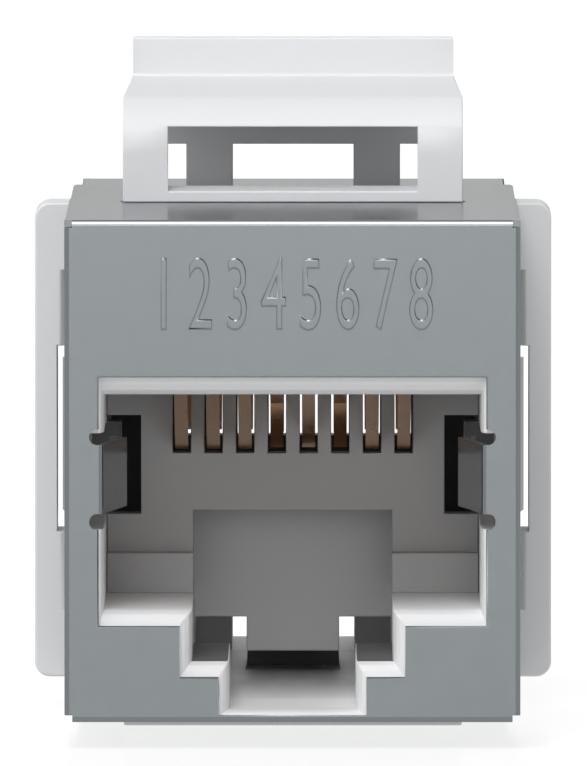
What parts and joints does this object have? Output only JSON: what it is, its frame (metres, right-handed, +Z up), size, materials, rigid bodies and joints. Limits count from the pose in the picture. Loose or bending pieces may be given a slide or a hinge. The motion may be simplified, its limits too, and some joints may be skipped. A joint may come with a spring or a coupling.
{
  "type": "keystone coupler",
  "caption": "Shielded in-line keystone coupler with back-to-back modular sockets, folded metal shells, spring contacts, side ears and a sprung panel latch.",
  "frame": {"origin": "middle of the underside of the hook that the coupler stands on, half way along its length", "axes": "+X across the ports, +Y from the front face to the rear face, +Z up to the latch"},
  "size_m": [0.0168, 0.036, 0.0217],
  "materials": {
    "shield_metal": "satin nickel-plated sheet",
    "socket_plastic": "fine satin moulding",
    "body_plastic": "fine satin moulding",
    "comb_plastic": "fine satin moulding",
    "board_laminate": "solder mask",
    "contact_metal": "plated spring alloy"
  },
  "bodies": {
    "housing": {"front_shield": "shield_metal", "rear_shield": "shield_metal", "front_socket": "socket_plastic", "rear_socket": "socket_plastic", "center_body": "body_plastic", "front_contact_block": "comb_plastic", "rear_contact_block": "comb_plastic", "circuit_board": "board_laminate", "front_contact_1": "contact_metal", "front_contact_2": "contact_metal", "front_contact_3": "contact_metal", "front_contact_4": "contact_metal", "front_contact_5": "contact_metal", "front_contact_6": "contact_metal", "front_contact_7": "contact_metal", "front_contact_8": "contact_metal", "rear_contact_1": "contact_metal", "rear_contact_2": "contact_metal", "rear_contact_3": "contact_metal", "rear_contact_4": "contact_metal", "rear_contact_5": "contact_metal", "rear_contact_6": "contact_metal", "rear_contact_7": "contact_metal", "rear_contact_8": "contact_metal"},
    "latch": {"latch": "body_plastic"}
  },
  "joints": [
    {"name": "latch_press", "type": "hinge", "parent": "housing", "child": "latch", "pos_m": [0, -0.00547, 0.01585], "axis": [-1, 0, 0], "range_deg": [0, 4], "stiffness_Nm_per_rad": 0.05}
  ]
}
